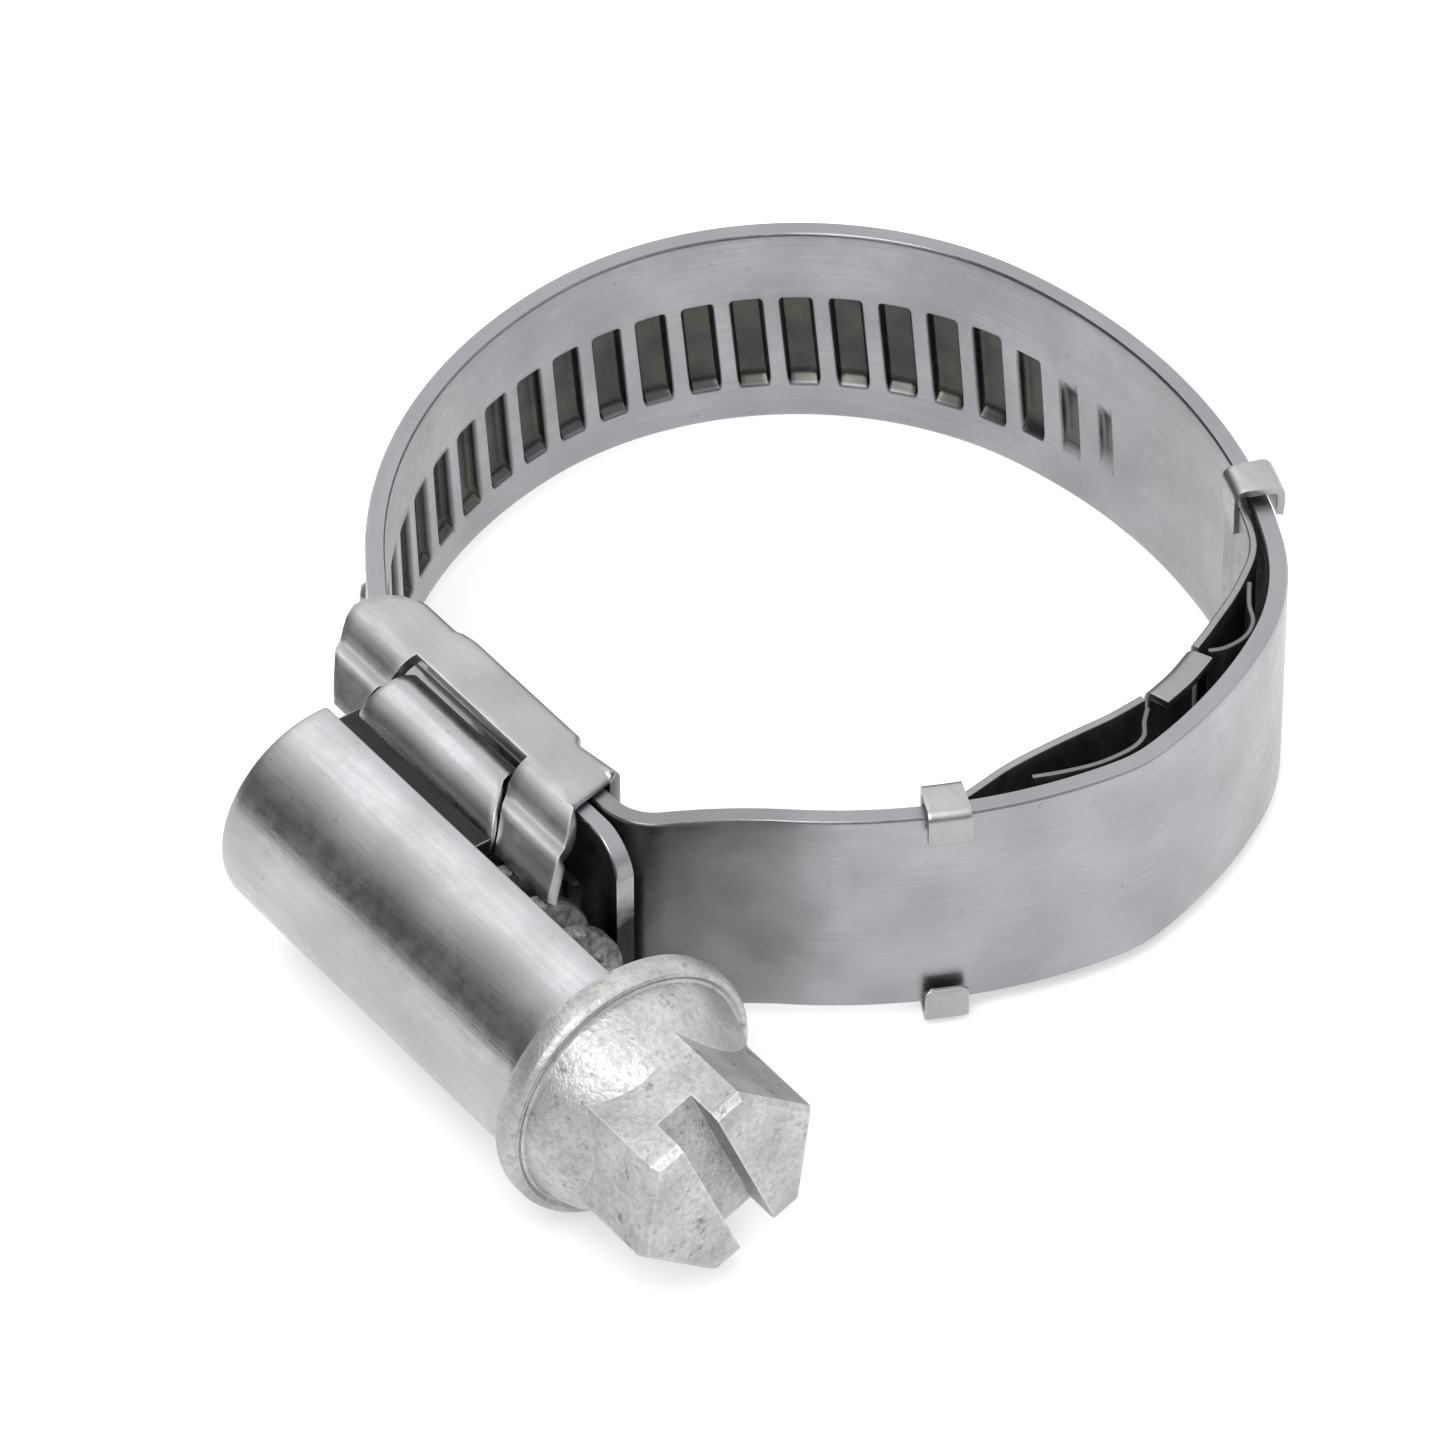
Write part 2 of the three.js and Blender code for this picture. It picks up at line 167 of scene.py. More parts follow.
def new_object(name, points, faces, marks=None):
    """An object from points in millimetres; marks has a value or a triple for each point."""
    mesh = bpy.data.meshes.new(name)
    mesh.from_pydata([tuple(p) for p in points], [], faces)
    for attribute, values in (marks or {}).items():
        triple = hasattr(values[0], "__len__")
        layer = mesh.attributes.new(attribute, "FLOAT_VECTOR" if triple else "FLOAT", "POINT")
        if triple:
            layer.data.foreach_set("vector", [x for value in values for x in value])
        else:
            layer.data.foreach_set("value", values)
    obj = bpy.data.objects.new(name, mesh)
    bpy.context.scene.collection.objects.link(obj)
    return obj


def loops_to_faces(count, size):
    """Quads between consecutive loops of points, with a cap on each end."""
    faces = []
    for i in range(count - 1):
        a, b = i * size, (i + 1) * size
        for j in range(size):
            k = (j + 1) % size
            faces.append((a + j, a + k, b + k, b + j))
    faces.append(tuple(reversed(range(size))))
    faces.append(tuple(range((count - 1) * size, count * size)))
    return faces


def apply_modifiers(obj):
    graph = bpy.context.evaluated_depsgraph_get()
    graph.update()
    shaped = bpy.data.meshes.new_from_object(obj.evaluated_get(graph))
    obj.modifiers.clear()
    obj.data = shaped


def boolean(obj, tool, operation):
    modifier = obj.modifiers.new("Boolean", "BOOLEAN")
    modifier.object = tool
    modifier.operation = operation
    modifier.solver = "EXACT"
    apply_modifiers(obj)
    bpy.data.objects.remove(tool)


def bevelled(obj, width, angle=35, segments=2):
    modifier = obj.modifiers.new("Bevel", "BEVEL")
    modifier.width = width
    modifier.segments = segments
    modifier.limit_method = "ANGLE"
    modifier.angle_limit = math.radians(angle)
    apply_modifiers(obj)


def thickened(obj, thickness, offset, even=False):
    plate = obj.modifiers.new("Solidify", "SOLIDIFY")
    plate.thickness = thickness
    plate.offset = offset
    plate.use_even_offset = even
    apply_modifiers(obj)


def plate_from_rows(name, rows, thickness, side=1, offset=0):
    """A plate through rows of points; side is -1 for a piece mirrored in Z, offset is Solidify's."""
    width = len(rows[0])
    faces = []
    for i in range(len(rows) - 1):
        for j in range(width - 1):
            a = i * width + j
            face = (a, a + 1, a + width + 1, a + width)
            faces.append(face if side > 0 else tuple(reversed(face)))
    obj = new_object(name, [point for row in rows for point in row], faces)
    thickened(obj, thickness, offset)
    return obj


def finished(obj, material, nodes=(), crease=40):
    """Gives a piece its place in the frame, its shading and its finish, and hides the CAD nodes it
    stands for.
    """
    obj.data.transform(ROW_FRAME)
    obj.data.shade_smooth()
    obj.data.set_sharp_from_angle(angle=math.radians(crease))
    obj.data.materials.clear()
    obj.data.materials.append(material)
    if nodes:
        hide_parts(*nodes)
    return obj


# ---------- the band's path ----------

class Path:
    """The band's outer face as legs of (length, curvature), bending left where curvature is positive."""

    def __init__(self, x, y):
        self.legs = []
        self.end = (0.0, x, y, 0.0)

    def add(self, length, curvature=0.0):
        self.legs.append((*self.end, length, curvature))
        self.end = self.on_leg(self.legs[-1], length)

    def turn(self, degrees, radius):
        sweep = math.radians(degrees)
        self.add(abs(sweep) * radius, math.copysign(1 / radius, sweep))

    def on_leg(self, leg, distance):
        along, x, y, heading, _, curvature = leg
        after = heading + curvature * distance
        if curvature:
            x += (math.sin(after) - math.sin(heading)) / curvature
            y -= (math.cos(after) - math.cos(heading)) / curvature
        else:
            x += math.cos(heading) * distance
            y += math.sin(heading) * distance
        return along + distance, x, y, after

    def at(self, along, depth=0.0):
        """The point at a distance along the path and a depth under the outer face."""
        leg = next((leg for leg in self.legs if along <= leg[0] + leg[4]), self.legs[-1])
        _, x, y, heading = self.on_leg(leg, along - leg[0])
        return Vector((x - math.sin(heading) * depth, y + math.cos(heading) * depth))

    def first(self, start, test, step=0.01):
        along = start
        while not test(self.at(along)):
            along += step
        return along

    @property
    def length(self):
        return self.end[0]


def band_path():
    path = Path(FIXED_REAR_X, FIXED_OUTER_Y)
    path.add(FIXED_LENGTH)
    for turn, radius in BAND_RUN:
        path.turn(turn, radius)
    _, _, y, heading = path.end
    left = 2 * math.pi - heading
    drop = y - FREE_OUTER_Y - ENTRY_BEND * (1 - math.cos(left))
    path.add(drop / math.sin(left))
    path.turn(math.degrees(left), ENTRY_BEND)
    path.add(FREE_END_X - path.end[1])
    return path


BAND = band_path()


def angle_of(point):
    return math.degrees(math.atan2(point.y, point.x))


def along_at(degrees):
    return BAND.first(10.5, lambda point: angle_of(point) >= degrees)


FIRST_RIB = along_at(FIRST_RIB_ANGLE)
RIBS = []
while BAND.length - LAST_RIB - PITCH * len(RIBS) > FIRST_RIB:
    RIBS.append(BAND.length - LAST_RIB - PITCH * len(RIBS))
FAR_FLEX = BAND.first(40, lambda point: point.x <= FLEX_X)
ENTRY_FLEX = BAND.first(FAR_FLEX + 30, lambda point: point.x >= FLEX_X)


# ---------- band ----------

def thread_share(offset, z, lead, fade):
    """How far a point is into a rib, 1 in its middle; lead is its half width, fade its slope's width."""
    across = 1 - smooth((abs(offset) - lead) / fade)
    low = smooth((z - THREAD_LOW) / 0.6)
    high = 1 - smooth((z - THREAD_HIGH + 0.25) / 0.3)
    return across * low * high


def rib_offset(along):
    nearest = min(RIBS, key=lambda rib: abs(rib - along))
    return along - nearest


def rib_size(along):
    """The first ribs are smaller and pressed more lightly than the rest."""
    nearest = min(RIBS, key=lambda rib: abs(rib - along))
    return along_line([(FIRST_RIB, 0.58), (FIRST_RIB + 6.5, 1)], nearest)


def half_width(along):
    past = along - (BAND.length - FREE_END_CORNER)
    if past <= 0:
        return BAND_SIDE
    return BAND_SIDE - FREE_END_CORNER + math.sqrt(max(FREE_END_CORNER ** 2 - past ** 2, 0))


FACE_LINES = [
    -4.36, -3.9, -3.4, -3.1, -3.0, -2.9, -2.8, -2.7, -2.6, -2.2, -1.4, -0.6, 0.2, 0.9,
    1.15, 1.2, 1.25, 1.3, 1.35, 1.4, 1.8, 2.6, 3.4, 4.0, 4.36,
]
RIB_LINES = [
    -0.98, -0.86, -0.74, -0.66, -0.6, -0.54, -0.48, -0.3,
    0.0, 0.3, 0.48, 0.54, 0.6, 0.66, 0.74, 0.86,
]


def band_section():
    """Points round the band's section as (share of the thickness, place across, which face)."""
    corner = [(0.02, 0.05), (0.07, 0.11), (BAND_EDGE, BAND_EDGE)]
    edge = [(depth / BAND_THICKNESS, BAND_SIDE - BAND_EDGE + rise) for depth, rise in corner]
    top = edge + [(1 - depth, z) for depth, z in reversed(edge)]
    section = [(0.0, z, "outer") for z in FACE_LINES]
    section += [(depth, z, "edge") for depth, z in top]
    section += [(1.0, z, "inner") for z in reversed(FACE_LINES)]
    section += [(1 - depth, -z, "edge") for depth, z in top]
    return section


def band_point(along, share, z, face):
    """A point of the band, its depth into a rib, and its place along and across the strip."""
    lean = smooth((along - FIRST_RIB + 4) / 3) * smooth((BAND.length - along) / 1.5)
    inside = min(max(z, THREAD_LOW), THREAD_HIGH)
    middle = (THREAD_LOW + THREAD_HIGH) / 2
    leaning = (inside - middle) * (1 - smooth(abs(z - inside) / 1.4))
    place = along + lean * SLANT * leaning
    depth = share * BAND_THICKNESS
    pressed = 0.0
    if along > FIRST_RIB - 1 and face != "edge":
        size = rib_size(along)
        offset = rib_offset(along) / size
        across = middle + (z - middle) / size
        if face == "inner":
            share = thread_share(offset, across, 0.5, 0.2)
            pressed = size * min(share * 4, 1)
            depth -= HOLLOW_DEPTH * size * share
        else:
            depth -= RIB_HEIGHT * size * thread_share(offset, across, 0.3, 0.4)
    width = half_width(along) / BAND_SIDE
    flat = BAND.at(min(place, BAND.length), depth)
    return (flat.x, flat.y, z * width), pressed, (place, z, depth)


def band_stations(start, end):
    """Distances along the band: even steps, and lines that follow each rib where there are ribs."""
    places = [start, end]
    smooth_end = min(end, FIRST_RIB - 1)
    if start < smooth_end:
        places += spread(start, smooth_end, round((smooth_end - start) / 0.25))
    for rib in RIBS:
        places += [rib + line * rib_size(rib) for line in RIB_LINES]
    if end == BAND.length:
        nose = BAND.length - FREE_END_CORNER
        places = [place for place in places if place < nose - 0.02]
        places += [nose + FREE_END_CORNER * math.sin(math.radians(step)) for step in range(0, 91, 9)]
    places = sorted(place for place in places if start <= place <= end)
    kept = [places[0]]
    for place in places[1:]:
        if place - kept[-1] > 0.015:
            kept.append(place)
    kept[-1] = end
    return kept


def band_piece(name, start, end, nodes):
    section = band_section()
    points, pressed, strip = [], [], []
    stations = band_stations(start, end)
    for along in stations:
        for share, z, face in section:
            point, depth, place = band_point(along, share, z, face)
            points.append(point)
            pressed.append(depth)
            strip.append(place)
    faces = loops_to_faces(len(stations), len(section))
    obj = new_object(name, points, faces, {"pressed": pressed, "strip": strip})
    return finished(obj, BAND_STEEL, nodes, crease=50)


def between_ribs(along):
    nearest = min(RIBS, key=lambda rib: abs(rib - PITCH / 2 - along))
    return nearest - PITCH / 2


ENTRY_CUT = between_ribs(ENTRY_FLEX - 2 * FLEX_REACH)


def flex_point(along):
    return BAND.at(along, BAND_THICKNESS / 2)


def make_band():
    ring = band_piece("band_ring", 0, ENTRY_CUT, ["band_fixed_side", "band_far_arc"])
    centre = flex_point(FAR_FLEX)
    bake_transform(ring)
    tail = band_piece("band_tail", ENTRY_CUT, BAND.length, ["band_free_end"])
    centre = flex_point(ENTRY_FLEX)
    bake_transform(tail)


# ---------- saddle ----------

SADDLE_PLATE = 0.5
SHEET_BEVEL = 0.07
WALL_Z = cad_box("saddle")[1].z
WALL_BEND = 0.55
CURL_LENGTH = 0.75                               # the plate rolls inwards before its front edge
CURL_DEPTH = 0.42
CURL_LOW, CURL_HIGH = -16.7, -14.7               # only between these two Y
WINDOW_TOP = -16.5                               # the window is open beyond this Y
WINDOW = (-1.8, 5.1)                             # the wall's window along X
TAB_LINE = [                                     # (Y, Z) down a tab's outside: a dip, a ridge, the lip
    (-16.55, 5.09), (-16.8, 5.06), (-17.05, 4.98), (-17.3, 4.84), (-17.55, 4.6),
    (-17.75, 4.4), (-17.9, 4.33), (-18.1, 4.37), (-18.28, 4.4), (-18.45, 4.34),
    (-18.6, 4.21), (-18.85, 3.94), (-19.1, 3.66), (-19.4, 3.3),
]
REAR_EDGE = [                                    # (Y, X) down the saddle's rear edge
    (-20, -2.2), (-19, -3.6), (-18.3, -4.45), (-17.4, -5.15), (-16.8, -5.4),
    (-16.2, -5.35), (-15.6, -5.1), (-14.8, -4.45), (-14.35, -3.95), (-14.2, -3.6),
]


def saddle_rows():
    """Half of the saddle's section as (Y, Z), from the middle of the floor to a tab's tip."""
    floor_y = SADDLE_FACE.y
    rows = [(floor_y, z) for z in (0, 1.2, 2.4, 3.6)]
    for step in range(0, 91, 15):
        turn = math.radians(step)
        rise, inset = WALL_BEND * (1 - math.cos(turn)), WALL_BEND * (1 - math.sin(turn))
        rows.append((floor_y - rise, WALL_Z - inset))
    rows += [(y, WALL_Z) for y in (-15.1, -15.6, -16.1, -16.4)]
    return rows + TAB_LINE


def saddle_edges(y):
    """Rear end, window ends and front end of the saddle along X, at a distance Y."""
    rear = along_line(REAR_EDGE, y)
    front = along_line([(-19.4, 10.2), (-17.9, 9.2), (-16.5, 8.0), (-14.2, 7.5)], y)
    tab_rear = along_line([(-19.4, 7.0), (-17.6, 5.35), (-16.6, 5.1)], y)
    return rear, WINDOW[0], tab_rear, front


def floor_step(x):
    """How far the hose face is set back: behind the seat, and in a ramp before the front edge."""
    return along_line([(-2.1, 0.25), (-1.6, 0), (5.1, 0), (5.25, 0.3), (7.5, 0)], x)


def front_curl(x, front):
    """How far the plate rolls inwards just before its front edge."""
    past = max(x - (front - CURL_LENGTH), 0) / CURL_LENGTH
    return CURL_DEPTH * (1 - math.sqrt(1 - min(past, 1) ** 2))


def saddle_columns(y):
    rear, window_rear, window_front, front = saddle_edges(y)
    columns = [(x, "rear") for x in spread(rear, window_rear, 8)[:-1]]
    columns += [(x, "window") for x in spread(window_rear, window_front, 12)[:-1]]
    body = front - 0.8
    columns += [(x, "front") for x in spread(window_front, body, 5)[:-1]]
    for degrees in (0, 20, 40, 60, 90):
        columns.append((mix(body, front, math.sin(math.radians(degrees))), "front"))
    return columns, front


def make_saddle():
    half = saddle_rows()
    rows = [(y, -z, -1) for y, z in reversed(half[1:])] + [(y, z, 1) for y, z in half]
    points = []
    for y, z, side in rows:
        columns, front = saddle_columns(y)
        for x, _ in columns:
            set_back = floor_step(x) if y > SADDLE_FACE.y - WALL_BEND - 0.01 else 0
            rolled = front_curl(x, front) if CURL_LOW < y < CURL_HIGH else 0
            points.append((x, y - set_back, z - side * rolled))
    names = [name for _, name in saddle_columns(SADDLE_FACE.y)[0]]
    width = len(names)
    faces = []
    for i in range(len(rows) - 1):
        open_window = max(rows[i][0], rows[i + 1][0]) < WINDOW_TOP
        for j in range(width - 1):
            if names[j] == "window" and open_window:
                continue
            a = i * width + j
            faces.append((a, a + width, a + width + 1, a + 1))
    saddle = new_object("saddle_pressing", points, faces)
    thickened(saddle, SADDLE_PLATE, -1, even=True)
    bevelled(saddle, SHEET_BEVEL)
    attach(finished(saddle, HOUSING_STEEL, ["saddle"]), "housing")


# ---------- drum ----------

PANEL_CENTRE = (-17.75, 2.9)                     # Y and Z of the middle of the rolled flange
PANEL_RADIUS = 1.75
PANEL_PLATE = 0.5
GROOVE_PLATE = 0.1
GROOVE_FLOOR = [(-18.3, 3.72), (-19.3, 3.66), (-20.0, 3.64), (-20.6, 3.7)]      # (Y, Z)
DRUM_DROP = 0.3                                  # how far the shell's long edges pass the screw's axis


def drum_section():
    """The shell's section in Y and Z as (outside, inside) pairs, from one long edge to the other."""
    drop = math.degrees(math.asin(DRUM_DROP / DRUM_RADIUS))
    axis = Vector((SCREW_Y, 0))
    pairs = []
    for degrees in spread(90 + drop, -90 - drop, 96):
        angle = math.radians(degrees)
        out = Vector((-math.cos(angle), math.sin(angle)))
        pairs.append((axis + out * DRUM_RADIUS, axis + out * (DRUM_RADIUS - DRUM_PLATE)))
    return pairs


def make_drum():
    pairs = drum_section()
    ring = [outside for outside, _ in pairs] + [inside for _, inside in reversed(pairs)]
    stations = spread(DRUM_LOW.x, DRUM_HIGH.x, 40)
    points = [(x, flat.x, flat.y) for x in stations for flat in ring]
    drum = new_object("drum_cover", points, loops_to_faces(len(stations), len(ring)))
    bevelled(drum, 0.12, segments=3)
    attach(finished(drum, DRUM_STEEL, ["drum_shell"]), "housing")


def make_panel(name, side):
    """The drum's rolled flange that shows in the saddle's window."""
    rows = []
    for degrees in spread(128, 4, 14):
        angle = math.radians(degrees)
        rows.append((PANEL_CENTRE[0] - PANEL_RADIUS * math.cos(angle),
                     PANEL_CENTRE[1] + PANEL_RADIUS * math.sin(angle)))
    sheets = []
    for y, z in rows:
        front = along_line([(-19.4, 6.75), (-17.6, 5.15), (-17, 4.95)], y)
        sheets.append([(x, y, side * z) for x in spread(WINDOW[0] + 0.15, front, 20)])
    panel = plate_from_rows(name, sheets, PANEL_PLATE, side, offset=1)
    bevelled(panel, 0.1)
    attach(finished(panel, DRUM_STEEL), "housing")


def make_groove(name, side):
    """The drum's flange between the drum and the panel, the floor of the dark groove, in near-black
    steel that is painted shade.
    """
    rows = []
    for y, z in GROOVE_FLOOR:
        rows.append([(x, y, side * z) for x in spread(-1.95, 6.6, 24)])
    groove = plate_from_rows(name, rows, GROOVE_PLATE, side, offset=1)
    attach(finished(groove, PAINTED_SHADE_GROOVE_STEEL), "housing")


# ---------- screw ----------

def turned(name, profile, segments=96):
    """A solid turned round the screw's axis from (x, radius) points, with a flat cap at each end."""
    points = []
    for x, radius in profile:
        for step in range(segments):
            angle = 2 * math.pi * step / segments
            points.append((x, SCREW_Y - radius * math.cos(angle), radius * math.sin(angle)))
    return new_object(name, points, loops_to_faces(len(profile), segments))


def worm_thread():
    """The worm's thread: a trapezoid section with a slightly rounded crest, fading at its ends."""
    crest = WORM_RADIUS - WORM_CORE
    section = [(-0.68, -0.3), (-0.32, crest - 0.06), (-0.24, crest),
               (0.24, crest), (0.32, crest - 0.06), (0.68, -0.3)]
    start, end = WORM_RANGE
    turns = (end - start) / PITCH
    steps = round(turns * 48)
    points = []
    for step in range(steps + 1):
        angle = 2 * math.pi * turns * step / steps
        middle = mix(start, end, step / steps)
        taper = smooth(min(step, steps - step) / 20)
        for x, rise in section:
            radius = WORM_CORE + (rise if rise < 0 else rise * taper)
            points.append((middle + x, SCREW_Y + radius * math.cos(angle), radius * math.sin(angle)))
    return new_object("worm_thread", points, loops_to_faces(steps + 1, len(section)))


def hex_head():
    corner = HEX_FLATS / math.sqrt(3)
    long, deep = HEX_CHAMFER
    points = []
    for x, radius in [(HEX_REAR, corner), (SCREW_FRONT - long, corner), (SCREW_FRONT, corner - deep)]:
        for side in range(6):
            angle = math.radians(HEX_TURN + 30 + 60 * side)
            points.append((x, SCREW_Y - radius * math.cos(angle), radius * math.sin(angle)))
    return new_object("hex_head", points, loops_to_faces(3, 6))


def driver_slot():
    """The cutter for the slot, longer than the head is wide."""
    width, depth = DRIVER_SLOT
    points = []
    turn = math.radians(HEX_TURN)
    flat = Vector((-math.cos(turn), math.sin(turn)))
    across = Vector((flat.y, -flat.x))
    for x in (SCREW_FRONT - depth, SCREW_FRONT + 1):
        for along, side in ((-6, -1), (6, -1), (6, 1), (-6, 1)):
            place = flat * along + across * side * width / 2
            points.append((x, SCREW_Y + place.x, place.y))
    return new_object("driver_slot", points, loops_to_faces(2, 4))


def outward(obj):
    """Turns every face outwards, which the booleans need."""
    shape = bmesh.new()
    shape.from_mesh(obj.data)
    bmesh.ops.recalc_face_normals(shape, faces=shape.faces)
    shape.to_mesh(obj.data)
    shape.free()
    return obj


def make_screw():
    edge = FLANGE_RADIUS
    profile = [
        (-1.2, CAP_RADIUS), (-1.2, 2.1), (-1.05, 2.4), (-0.7, WORM_CORE), (13.3, WORM_CORE),
        (13.5, 2.8), (13.7, 3.3), (15.9, 3.3),
        (15.9, edge - 0.4), (15.95, edge - 0.2), (16.07, edge - 0.06), (16.25, edge),
        (16.8, edge), (16.95, edge - 0.05), (17.06, edge - 0.16), (17.1, edge - 0.32),
        (17.04, edge - 0.46), (17.1, edge - 0.56), (17.25, edge - 0.62),
        (18.0, 4.42), (18.8, 4.02), (19.7, 3.44), (19.72, CAP_RADIUS),
    ]
    screw = outward(turned("screw", profile))
    head = outward(hex_head())
    boolean(head, outward(driver_slot()), "DIFFERENCE")
    boolean(screw, head, "UNION")
    boolean(screw, outward(worm_thread()), "UNION")
    bevelled(screw, FINE_BEVEL, angle=28)
    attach(finished(screw, ZINC, ["worm_screw"], crease=35), "screw")


# ---------- sprung liner ----------

def curve_through(knots, count):
    """A smooth line through [degrees, radius] knots, as (point, heading) pairs."""
    places = [polar(*knot) for knot in knots]
    line = []
    for i in range(count + 1):
        t = (len(places) - 1) * i / count
        k = min(int(t), len(places) - 2)
        w = t - k
        around = (k - 1, k, k + 1, k + 2)
        p0, p1, p2, p3 = (places[min(max(j, 0), len(places) - 1)] for j in around)
        v1, v2 = (p2 - p0) / 2, (p3 - p1) / 2
        cubic = 2 * p1 - 2 * p2 + v1 + v2
        square = 3 * p2 - 3 * p1 - 2 * v1 - v2
        point = cubic * w ** 3 + square * w ** 2 + v1 * w + p1
        rate = cubic * 3 * w ** 2 + square * 2 * w + v1
        line.append((point, rate.normalized()))
    return line


def sheet_section(plate, side):
    """Points round a thin sheet's section as (depth, Z), in small steps, with its corners rounded."""
    corner = plate * 0.3
    half = plate / 2
    face = spread(corner - side, side - corner, 12)
    shoulder = side - corner * 0.35
    top = [(half * 0.86, shoulder), (half * 0.5, side), (-half * 0.5, side), (-half * 0.86, shoulder)]
    section = [(-half, z) for z in reversed(face)]
    section += [(-depth, -z) for depth, z in top]
    section += [(half, z) for z in face]
    return section + top


def sheet(name, line, plate, side):
    """A thin sheet that follows a line in the XY plane and reaches from -side to side in Z."""
    section = sheet_section(plate, side)
    points, strip = [], []
    travelled = 0.0
    for i, (point, heading) in enumerate(line):
        if i:
            travelled += (point - line[i - 1][0]).length
        inward = Vector((-heading.y, heading.x))
        for depth, z in section:
            flat = point + inward * depth
            points.append((flat.x, flat.y, z))
            strip.append((travelled, z, depth))
    faces = loops_to_faces(len(line), len(section))
    return new_object(name, points, faces, {"strip": strip})


LUG_PLATE = 0.32
LUG_GAP = 0.28
LUG_REACH = 0.8                                  # how far a lug comes down the outside of the band
LUG_TIP = 0.75                                   # a lug's width at its tip, as a share of the rest
LINER_PLATE = 0.3
LINER_SIDE = 4.4
WAVE_PLATE = 0.2
WAVE_SIDE = 4.35
BRIDGE_PLATE = 0.34
BRIDGE_SIDE = 4.5


def lug(name, start, end, side):
    """A tongue that leaves the liner's edge, passes the band's edge and lies on the band's outside."""
    out = -LUG_GAP - LUG_PLATE / 2
    inside = BAND_THICKNESS + LUG_GAP + 0.02 + LUG_PLATE / 2
    top = BAND_SIDE + LUG_GAP + LUG_PLATE / 2
    bend = 0.3
    path = [(inside, BAND_SIDE - 1.4), (inside, BAND_SIDE - 0.7), (inside, top - bend)]
    for step in (30, 60, 90):
        turn = math.radians(step)
        path.append((inside - bend * (1 - math.cos(turn)), top - bend * (1 - math.sin(turn))))
    for step in (0, 30, 60, 90):
        turn = math.radians(step)
        path.append((out + bend * (1 - math.sin(turn)), top - bend * (1 - math.cos(turn))))
    path += [(out, BAND_SIDE - 0.3), (out + 0.05, BAND_SIDE - 0.8),
             (out + 0.1, BAND_SIDE - LUG_REACH)]
    middle = (start + end) / 2
    rows = []
    for depth, z in path:
        narrowed = LUG_TIP if (depth, z) == path[-1] else 1
        flats = [BAND.at(mix(middle, along, narrowed), depth) for along in spread(start, end, 10)]
        rows.append([(flat.x, flat.y, side * z) for flat in flats])
    obj = plate_from_rows(name, rows, LUG_PLATE, side)
    bevelled(obj, FINE_BEVEL)
    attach(finished(obj, SPRING_STEEL), "housing")


FRONT_LUG = (along_at(-23), along_at(-17.8))
REAR_LUG = (along_at(56.5), along_at(62))


def foot(along):
    place = BAND.at(along, BAND_THICKNESS + 0.3)
    return [angle_of(place), place.length]


def liner_knots():
    front = [foot(FRONT_LUG[0]), foot(sum(FRONT_LUG) / 2), foot(FRONT_LUG[1]),
             [-10, 15.35], [-4, 15.1], [2, 15.1], [8, 15.3], [13.6, 15.5]]
    rear = [[26.2, 15.6], [32, 15.7], [40, 16], [48, 16.25],
            foot(REAR_LUG[0]), foot(sum(REAR_LUG) / 2), foot(REAR_LUG[1])]
    return front, rear


def bridge_blend(obj):
    """Bakes the piece's transform into its mesh."""
    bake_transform(obj)


def make_liner():
    front_knots, rear_knots = liner_knots()
    front = sheet("front_liner_plate", curve_through(front_knots, 64), LINER_PLATE, LINER_SIDE)
    finished(front, LINER_SHADED_STEEL, ["front_liner"])
    bridge_blend(front)
    rear = sheet("rear_liner_plate", curve_through(rear_knots, 64), LINER_PLATE, LINER_SIDE)
    finished(rear, LINER_SHADED_STEEL, ["rear_liner"])
    bridge_blend(rear)
    for end, (start, stop) in (("front", FRONT_LUG), ("rear", REAR_LUG)):
        lug(f"{end}_lug_upper", start, stop, 1)
        lug(f"{end}_lug_lower", start, stop, -1)


def make_waves():
    front = [[-7.5, 16.15], [-3.5, 16.5], [1, 16.85], [5.5, 17],
             [8.3, 16.85], [10.3, 16.35], [12.6, 15.95]]
    rear = [[26.6, 16.1], [28.2, 16.6], [31, 17.0], [34, 17.0], [37, 16.6], [41, 16.35]]
    wave = sheet("front_wave", curve_through(front, 72), WAVE_PLATE, WAVE_SIDE)
    finished(wave, WAVE_SHADED_STEEL, ["front_wave_spring"])
    bridge_blend(wave)
    wave = sheet("rear_wave", curve_through(rear, 72), WAVE_PLATE, WAVE_SIDE)
    finished(wave, WAVE_SHADED_STEEL, ["rear_wave_spring"])
    bridge_blend(wave)


def make_bridge():
    """A channel: a plate whose two long edges fold outwards."""
    lip, bend, half = 0.95, 0.25, BRIDGE_PLATE / 2
    middle = [(lip, BRIDGE_SIDE - half)]
    for step in (0, 30, 60, 90):
        turn = math.radians(step)
        middle.append((bend * (1 - math.sin(turn)), BRIDGE_SIDE - half - bend * (1 - math.cos(turn))))
    middle += [(0, z) for z in (3.2, 1.6, 0, -1.6, -3.2)]
    middle += [(rise, -z) for rise, z in reversed(middle[:5])]
    line = curve_through([[14.6, 15.5], [20, 15.55], [25.2, 15.55]], 16)
    rows = []
    for rise, z in middle:
        flats = [point - Vector((-heading.y, heading.x)) * rise for point, heading in line]
        rows.append([(flat.x, flat.y, z) for flat in flats])
    bridge = plate_from_rows("liner_channel", rows, BRIDGE_PLATE)
    bevelled(bridge, FINE_BEVEL)
    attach(finished(bridge, LINER_SHADED_STEEL, ["liner_bridge"]), "bridge")


# ---------- materials ----------

